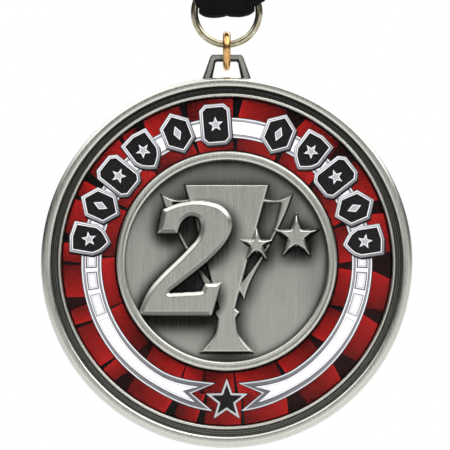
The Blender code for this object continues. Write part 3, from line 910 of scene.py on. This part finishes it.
def badge_outline(kind):
    """A generic badge about 5.5 mm wide and 7 mm tall, clockwise from its top."""
    width, height, corner = 2.3 * MM, 3.25 * MM, 0.75 * MM
    if kind == "hexagon":
        return mirrored([(0.0, height), (width, 0.48 * height), (width, -0.48 * height),
                         (0.0, -height)])
    if kind == "shield":
        foot = [(width * (1 - k / 4), -height * (0.25 + 0.75 * (k / 4) ** 0.6))
                for k in range(5)]
        return mirrored([(0.0, height), (width, height * 0.88), *foot])
    return mirrored([(width - corner, height), (width, height - corner),
                     (width, corner - height), (width - corner, -height)])


def badge_centre(kind):
    """The white figure inside a badge, clockwise from its top."""
    if kind == "hexagon":
        return [(0.0, 1.4 * MM), (0.75 * MM, 0.0), (0.0, -1.4 * MM), (-0.75 * MM, 0.0)]
    return star_outline((0.0, 0.2 * MM if kind == "shield" else 0.0), 1.45 * MM,
                        0.6 * MM)


def add_badge(art, kind, angle):
    """A black badge with a bevelled silver edge, upright along its own radius."""
    turned = math.radians(angle)
    across = (math.cos(turned), -math.sin(turned))
    middle = polar(26.1 * MM, turned)

    def seated(outline, drop=0.0):
        return [(middle[0] + x * across[0] - y * across[1] + 0.5 * drop,
                 middle[1] + x * across[1] + y * across[0] - drop)
                for x, y in outline]

    def lit(x, z):
        """The silver edge is light on its upper left and dull on its lower right."""
        reach = (z - middle[1] - 0.6 * (x - middle[0])) / (3.4 * MM)
        return max(0.18, min(0.80, 0.46 + 0.30 * reach))

    outline = badge_outline(kind)
    art.add_plate(seated(offset_outline(outline, -0.72 * MM), 0.26 * MM), 11, BLACK, 0.1)
    for inset, level, slot, tone in ((-0.68, 12, GREY, 0.05), (-0.58, 13, GREY, lit),
                                     (-0.28, 14, GREY, 0.06), (-0.17, 15, GREY, 1.0),
                                     (0.0, 16, BLACK, 0.75)):
        art.add_plate(seated(offset_outline(outline, inset * MM)), level, slot, tone)
    centre = badge_centre(kind)
    art.add_plate(seated(centre), 17, GREY, 0.9)
    art.add_plate(seated(offset_outline(centre, 0.16 * MM)), 18, GREY, 0.42)


def add_bottom_star(art):
    """The black star between the banner's tails."""
    centre = polar(25.75 * MM, math.pi)
    for outer, level, slot, tone in ((4.35, 11, BLACK, 0.1), (4.08, 12, GREY, 0.66),
                                     (3.56, 13, GREY, 0.16), (3.38, 14, GREY, 0.80),
                                     (3.12, 15, BLACK, 0.75)):
        art.add_plate(star_outline(centre, outer * MM, 0.41 * outer * MM), level, slot,
                      tone)


def make_print():
    """The printed ring: a black base, the tiles, and the banner with its badges."""
    art = Artwork()
    inner, outer = CHANNEL_INNER + 0.15 * MM, CHANNEL_OUTER - 0.15 * MM
    under = PRINT_HEIGHT - 0.22 * MM
    turn(art.shell, [(inner, under), (inner, PRINT_HEIGHT), (outer, PRINT_HEIGHT),
                     (outer, under)], True)
    add_tiles(art)
    art.stretch, art.drop = PRINT_STRETCH, PRINT_DROP
    add_banner(art)
    kinds = ("shield", "hexagon", "plaque")
    for i, angle in enumerate((-80.3, -65.7, -51.3, -36.8, -20.9, -4.6)):
        add_badge(art, kinds[i % 3], angle)
    for i, angle in enumerate((22.0, 37.2, 51.9, 66.9, 81.3)):
        add_badge(art, kinds[(4 - i) % 3], angle)
    add_bottom_star(art)
    inks = [print_finish(*ink) for ink in (
        ("black_ink", (0.0008, 0.0006, 0.0006), (0.007, 0.006, 0.0065), 0.1),
        ("red_ink", (0.004, 0.0003, 0.0003), (0.225, 0.0055, 0.0047), 0.22),
        ("white_ink", (0.32, 0.32, 0.34), (0.63, 0.63, 0.65), 0.04),
        ("silver_ink", (0.018, 0.02, 0.025), (0.58, 0.58, 0.61), 0.03))]
    stand_in("ring_artwork", finished(art.shell, "ring_artwork"), "medal",
             "printed_ring", "print", *inks)


def make_cover():
    """The clear layer over the print, its edges rolled over."""
    shell = bmesh.new()
    inner, outer = CHANNEL_INNER + 0.12 * MM, CHANNEL_OUTER - 0.12 * MM
    shoulder, run_in = COVER_TOP - 0.1 * MM, 2.4 * MM
    turn(shell, rounded_profile((
        (inner, COVER_BOTTOM, 0.0), (inner, shoulder, 0.45 * MM),
        (inner + run_in, COVER_TOP, 0.8 * MM), (outer - run_in, COVER_TOP, 0.8 * MM),
        (outer, shoulder, 0.45 * MM), (outer, COVER_BOTTOM, 0.0),
    ), 6), True)
    stand_in("resin_cover", finished(shell, "resin_cover", 50.0), "medal",
             "clear_cover", "clear_resin", clear_resin())


# ---- rings ----

WIRE_SIDES = 20
UP = Vector((0.0, 0.0, 1.0))
X_AXIS = Vector((1.0, 0.0, 0.0))
Y_AXIS = Vector((0.0, 1.0, 0.0))
JUMP_GAP = math.radians(4.0)


def ring_mesh(name, middle, radius, wire, axis, segments, gap=0.0):
    """A round wire bent about an axis, whole or with a gap at its +Y side."""
    shell = bmesh.new()
    flat = X_AXIS if axis is Y_AXIS else Y_AXIS
    rings = []
    for k in range(segments + (1 if gap else 0)):
        angle = math.pi / 2 + gap / 2 + (2 * math.pi - gap) * k / segments
        outward = flat * math.sin(angle) + UP * math.cos(angle)
        rings.append([shell.verts.new(
            middle + outward * (radius + math.cos(a) * wire / 2)
            + axis * (math.sin(a) * wire / 2))
            for a in (2 * math.pi * s / WIRE_SIDES for s in range(WIRE_SIDES))])
    bridge(shell, rings, closed=not gap)
    if gap:
        shell.faces.new(rings[0])
        shell.faces.new(rings[-1])
    return finished(shell, name, 50.0)


def make_rings():
    """The ribbon ring faces the front, and the jump ring hangs from it edge on."""
    radius = (RING_HIGH.x - RING_LOW.x - RING_WIRE) / 2
    stand_in("nickel_ring", ring_mesh("nickel_ring", RING_MIDDLE, radius, RING_WIRE,
                                      Y_AXIS, 128),
             "ribbon_ring", "ribbon_ring", "nickel_wire",
             wire_metal("nickel_plate", (0.20, 0.17, 0.09), (0.47, 0.44, 0.34), 0.13))
    wire = JUMP_HIGH.x - JUMP_LOW.x
    radius = (JUMP_HIGH.z - JUMP_LOW.z - wire) / 2
    stand_in("copper_ring", ring_mesh("copper_ring", (JUMP_LOW + JUMP_HIGH) / 2, radius,
                                      wire, X_AXIS, 112, JUMP_GAP),
             "jump_ring", "jump_ring", "copper_wire",
             wire_metal("copper_plate", (0.40, 0.21, 0.07), (0.68, 0.42, 0.17), 0.2))


# ---- neck ribbon ----
RIBBON_WIDTH = 22.0 * MM
CLOTH = 0.45 * MM
COLUMNS = 36

# The route, from the ribbon ring's middle: x, y and z in millimetres, the way the face
# points in degrees from the front, the cloth's width and the depth of its pleats.
TAIL_ROUTE = (
    (3.9, 1.0, 16.5, 180.0, 22.0, 0.25),
    (2.7, 1.0, 12.0, 180.0, 20.6, 0.15),
    (1.4, 1.15, 7.8, 180.0, 17.0, 0.9),
    (0.4, 1.3, 3.6, 180.0, 14.0, 1.3),
    (0.0, 1.3, 1.3, 180.0, 12.4, 1.3),
)
FRONT_ROUTE = (
    (0.65, -1.3, 1.3, 0.0, 13.5, 0.35),
    (0.70, -1.3, 3.6, 0.0, 14.2, 1.0),
    (-1.4, -1.15, 7.8, 0.0, 17.6, 0.9),
    (-2.7, -1.0, 12.0, 0.0, 20.9, 0.15),
    (-3.9, -1.0, 16.5, 0.0, 22.0, 0.35),
)
STRAP_ROUTE = (
    (-5.2, -1.0, 21.0, 0.0),
    (-12.5, -0.7, 48.0, 0.0),
    (-23.0, 0.0, 92.0, 2.0),
    (-34.0, 1.5, 135.0, 6.0),
    (-45.0, 4.5, 174.5, 13.0),
    (-55.0, 11.0, 210.0, 27.0),
    (-62.0, 24.0, 238.5, 48.0),
    (-63.5, 43.0, 257.5, 72.0),
    (-57.0, 67.0, 268.5, 102.0),
    (-38.0, 90.0, 274.5, 138.0),
)
NECK_POINT = (0.0, 101.0, 276.5, 180.0)
SLEEVE_ROUTE = (
    (12.5, 0.7, 48.0, 360.0, 22.0, 0.0),
    (5.2, 0.1, 21.0, 360.0, 22.0, 0.0),
    (2.7, 0.0, 12.0, 360.0, 20.5, 0.0),
    (1.8, 0.0, 9.0, 360.0, 18.5, 0.0),
)
FOLD_WIDTH = 10.3            # the fold in the ring, in millimetres: its width,
FOLD_RADIUS = 1.3            # its radius,
FOLD_BOTTOM = -0.65          # and its lowest point
FOLD_STEPS = 10
LEVEL_BELOW = 11.0           # the cloth is level at the ring and free above this,
LEVEL_HALF_WIDTH = 4.0       # within this far of the ring's middle,
LEVEL_FACING = 200.0         # where it faces less than this; the sewn strap faces more
ROW_SPACING = 1.6


def ribbon_stations():
    """The whole route: the tail, the fold, up and round the neck, and down again."""
    stations = list(TAIL_ROUTE)
    for i in range(FOLD_STEPS + 1):
        angle = math.pi * i / FOLD_STEPS
        stations.append((0.0, FOLD_RADIUS * math.cos(angle),
                         FOLD_BOTTOM + FOLD_RADIUS - FOLD_RADIUS * math.sin(angle),
                         180.0 - math.degrees(angle), FOLD_WIDTH, 0.12))
    left = [(*point, RIBBON_WIDTH / MM, 0.0) for point in STRAP_ROUTE]
    right = [(-x, y, z, 360.0 - facing, width, pleat)
             for x, y, z, facing, width, pleat in left[:1:-1]]
    neck = (*NECK_POINT, RIBBON_WIDTH / MM, 0.0)
    return stations + [*FRONT_ROUTE, *left, neck, *right, *SLEEVE_ROUTE]


def ribbon_rows():
    """Rows of the cloth along its route, close together where it folds."""
    stations = ribbon_stations()
    last = len(stations) - 1
    rows = []
    for i in range(last):
        before = stations[max(i - 1, 0)]
        after = stations[min(i + 2, last)]
        span = (Vector(stations[i + 1][:3]) - Vector(stations[i][:3])).length
        count = max(2, int(math.ceil(span / ROW_SPACING)))
        for step in range(count):
            rows.append(catmull_rom(before, stations[i], stations[i + 1], after,
                                    step / count))
    rows.append(stations[last])
    return rows


def ribbon_mesh():
    """The woven strip as one sheet, pleated and curled where it fills the ring."""
    rows = ribbon_rows()
    middles = [Vector(row[:3]) for row in rows]
    shell = bmesh.new()
    uv = shell.loops.layers.uv.new("cloth")
    lines, marks = [], []
    travelled = 0.0
    for i, row in enumerate(rows):
        ahead, behind = middles[min(i + 1, len(rows) - 1)], middles[max(i - 1, 0)]
        along = (ahead - behind).normalized()
        facing = math.radians(row[3])
        face = Vector((-math.sin(facing), -math.cos(facing), 0.0))
        across = face.cross(along).normalized()
        by_ring = abs(row[0]) < LEVEL_HALF_WIDTH
        if row[2] < LEVEL_BELOW and by_ring and row[3] < LEVEL_FACING:
            share = float(smoothstep(3.0, LEVEL_BELOW, row[2]))
            across = (across * share - X_AXIS * (1.0 - share)).normalized()
        outward = along.cross(across).normalized()
        if i:
            travelled += (middles[i] - middles[i - 1]).length
        near_ring = float(smoothstep(6.0, 1.0, row[2])) if by_ring else 0.0
        line = []
        for c in range(COLUMNS + 1):
            v = c / COLUMNS
            side = 2 * v - 1
            pleat = row[5] * (0.5 - 0.5 * math.cos(4 * math.pi * v))
            curl = 0.10 * row[5] * math.sin(9 * math.pi * v + 0.02 * travelled)
            lift = near_ring * (0.9 * abs(side) ** 6 - 0.18 * side
                                + 0.22 * math.exp(-(side * 11) ** 2))
            wave = 0.25 * math.sin(travelled / 31.0) * side * (1.0 - near_ring)
            point = (middles[i] + across * (side * row[4] / 2)
                     + outward * (pleat + curl + 0.12 * wave)
                     + Vector((0.0, 0.0, lift)))
            line.append(shell.verts.new(RING_MIDDLE + point * MM))
        lines.append(line)
        marks.append(travelled * MM)
    for i in range(len(lines) - 1):
        for c in range(COLUMNS):
            corners = ((i, c), (i, c + 1), (i + 1, c + 1), (i + 1, c))
            face = shell.faces.new([lines[r][k] for r, k in corners])
            for loop, (r, k) in zip(face.loops, corners):
                loop[uv].uv = (k / COLUMNS * RIBBON_WIDTH, marks[r])
    mesh = bpy.data.meshes.new("ribbon_cloth")
    shell.to_mesh(mesh)
    shell.free()
    mesh.shade_smooth()
    return mesh


def make_ribbon():
    """One sheet of cloth, given its thickness by a modifier."""
    ribbon = stand_in("ribbon_cloth", ribbon_mesh(), "ribbon", "neck_ribbon", "ribbon",
                      woven_ribbon())
    cloth = ribbon.modifiers.new("cloth_thickness", 'SOLIDIFY')
    cloth.thickness = CLOTH
    cloth.offset = 0.0


def finish_cad_nodes():
    """Give the CAD nodes that stay in view their own finishes."""
    thread = sewing_thread()
    for name, finish in (("needle_thread", thread), ("bobbin_thread", thread),
                         ("adhesive_ring", adhesive_film())):
        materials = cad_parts[name].data.materials
        materials.clear()
        materials.append(finish)


# ---- stage ----
FRAME_WIDTH = 84.45 * MM     # what the picture spans at the medal
CAMERA_DISTANCE = 0.80
CAMERA_TILT = math.radians(6.5)
FACE_DROP = 6.65 * MM        # the disc's face is this far below the picture's middle
FACE_RIGHT = 0.33 * MM       # and this far to its right
FLOOR_DROP = 0.17            # from the medal's lowest edge to the floor
FLOOR_HALF_SIZE = 6.0


def make_stage():
    """A plain pale floor below the medal."""
    floor_z = CAD_BOX[0][2] - FLOOR_DROP
    shell = bmesh.new()
    bmesh.ops.create_grid(shell, x_segments=1, y_segments=1, size=FLOOR_HALF_SIZE)
    mesh = bpy.data.meshes.new("floor")
    shell.to_mesh(mesh)
    shell.free()
    floor = bpy.data.objects.new("floor", mesh)
    floor.location.z = floor_z
    mesh.materials.append(Shader("pale_floor", Roughness=0.8,
                                 Base_Color=(0.5, 0.5, 0.5)).material)
    bpy.context.scene.collection.objects.link(floor)


def make_world():
    """White to the eye; what the metal mirrors is a bright table, a dim upper front
    and a softbox overhead."""
    world = bpy.data.worlds.new("studio")
    bpy.context.scene.world = world
    world.use_nodes = True
    studio = Nodes(world.node_tree)
    spot = studio.node("ShaderNodeTexCoord").outputs["Generated"]
    split = studio.node("ShaderNodeSeparateXYZ", {"Vector": spot}).outputs
    up, right = split["Z"], split["X"]
    sideways = studio.math('ABSOLUTE', right)
    table, below, overhead, middle, edge, lean = [
        studio.range(*bounds, curve='SMOOTHSTEP') for bounds in (
            (up, 0.01, 0.20, 1.06, 0.10), (up, -0.7, -0.1, 0.75, 1.0),
            (up, 0.42, 0.62, 0.0, 2.1), (sideways, 0.1, 0.35, 1.0, 1.4),
            (sideways, 0.55, 0.85, 1.0, 0.6), (right, -0.08, 0.08, 0.76, 1.34))]
    bands = studio.math('ADD', studio.math('MULTIPLY', table, below), overhead)
    for factor in (middle, edge, lean):
        bands = studio.math('MULTIPLY', bands, factor)
    mirrored = studio.node("ShaderNodeBackground",
                           {"Color": (1.0, 1.0, 0.99), "Strength": bands})
    white = studio.node("ShaderNodeBackground", {"Color": (1.0, 1.0, 1.0)})
    studio.show_mix("World Output",
                    studio.node("ShaderNodeLightPath").outputs["Is Camera Ray"],
                    mirrored, white)


def add_area(name, place_at, aim, size, power):
    """A square softbox that lights but isn't mirrored."""
    lamp = bpy.data.lights.new(name, 'AREA')
    lamp.size = size
    lamp.energy = power
    made = bpy.data.objects.new(name, lamp)
    made.location = place_at
    made.rotation_euler = (aim - place_at).to_track_quat('-Z', 'Y').to_euler()
    made.visible_glossy = False
    bpy.context.scene.collection.objects.link(made)


def make_lights():
    medal = place(0.0, 0.0, 0.0)
    add_area("key_above", medal + Vector((-0.15, -0.50, 0.55)), medal, 0.5, 5.0)
    add_area("fill_front", medal + Vector((0.35, -0.60, 0.0)), medal, 0.4, 2.0)


def make_camera():
    """Level with the medal's lower half and looking up at it a little."""
    camera = bpy.data.cameras.new("camera")
    camera.lens = camera.sensor_width * CAMERA_DISTANCE / FRAME_WIDTH
    made = bpy.data.objects.new("camera", camera)
    forward = Vector((0.0, math.cos(CAMERA_TILT), math.sin(CAMERA_TILT)))
    upward = Vector((0.0, -math.sin(CAMERA_TILT), math.cos(CAMERA_TILT)))
    middle = place(-FACE_RIGHT, 0.0, DISC_THICKNESS) + upward * FACE_DROP
    made.location = middle - forward * CAMERA_DISTANCE
    made.rotation_euler = (math.pi / 2 + CAMERA_TILT, 0.0, 0.0)
    bpy.context.scene.collection.objects.link(made)
    bpy.context.scene.camera = made


def main():
    bpy.context.scene.view_settings.view_transform = 'Standard'
    make_camera()
    make_world()
    make_lights()
    make_stage()
    make_casting()
    make_print()
    make_cover()
    make_rings()
    make_ribbon()
    finish_cad_nodes()


main()
